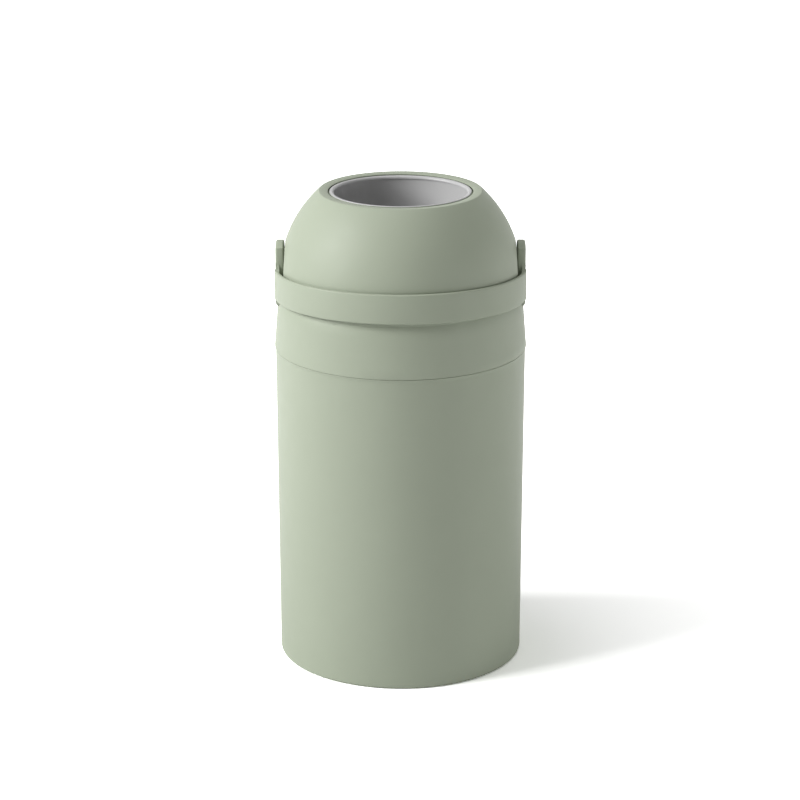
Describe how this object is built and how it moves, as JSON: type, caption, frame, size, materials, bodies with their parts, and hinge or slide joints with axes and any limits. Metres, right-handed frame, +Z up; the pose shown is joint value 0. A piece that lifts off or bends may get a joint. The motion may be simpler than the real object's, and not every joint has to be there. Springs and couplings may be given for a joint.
{
  "type": "nappy bin",
  "caption": "Tall round nappy bin with a domed head, a turning ball drum with a straight through tube, a U handle over the dome and a lift-up head on a rear hinge.",
  "frame": {"origin": "middle of the pail's flat underside, on the pail's centre line", "axes": "+Z up, -Y to the front where the handle rests, +X to the right seen from the front"},
  "size_m": [0.2848, 0.2994, 0.5439],
  "materials": {
    "sage_shell": "fine satin moulded plastic, sage green",
    "sage_handle": "fine satin moulded plastic, sage green",
    "sage_inner": "moulded plastic, darker sage green, inside parts",
    "grey_tube": "satin moulded plastic, light grey",
    "grey_piston": "satin moulded plastic, mid grey",
    "grey_axle": "hard low-friction plastic",
    "white_bush": "white low-friction plastic",
    "seal_rubber": "soft dark grey rubber",
    "screw_steel": "zinc-plated steel"
  },
  "bodies": {
    "pail": {"pail_shell": "sage_shell", "hinge_bracket": "sage_shell", "bracket_screws": "screw_steel", "hinge_pin": "screw_steel"},
    "bag_ring": {"bag_ring": "grey_tube"},
    "head": {"head_shell": "sage_shell", "hinge_leaf": "sage_shell", "leaf_screws": "screw_steel", "upper_seal": "seal_rubber", "drum_cradle": "sage_inner", "lower_seal": "seal_rubber", "cradle_screws": "screw_steel", "axle_bush_left": "white_bush", "axle_bush_right": "white_bush"},
    "drum": {"handle": "sage_handle", "handle_cap_left": "sage_handle", "handle_cap_right": "sage_handle", "axle_left": "grey_axle", "axle_right": "grey_axle", "axle_screws": "screw_steel", "drum_shell_front": "sage_inner", "drum_shell_rear": "sage_inner", "drum_screws": "screw_steel", "drum_tube": "grey_tube", "rim_ring_top": "grey_tube", "rim_ring_bottom": "grey_tube"},
    "piston": {"piston_cup": "grey_piston", "piston_lid": "grey_piston", "piston_weight": "screw_steel", "piston_seal_upper": "seal_rubber", "piston_seal_lower": "seal_rubber"}
  },
  "joints": [
    {"name": "head_hinge", "type": "hinge", "parent": "pail", "child": "head", "pos_m": [0, 0.1505, 0.3665], "axis": [-1, 0, 0], "range_deg": [0, 95]},
    {"name": "handle_turn", "type": "hinge", "parent": "head", "child": "drum", "pos_m": [0, 0, 0.4483], "axis": [-1, 0, 0], "range_deg": [0, 180]},
    {"name": "piston_slide", "type": "slide", "parent": "drum", "child": "piston", "axis": [0, 0.0122, 0.9999], "range_m": [0, 0.1205]},
    {"name": "bag_ring_lift", "type": "slide", "parent": "pail", "child": "bag_ring", "axis": [0, 0, 1], "range_m": [0, 0.012]}
  ]
}
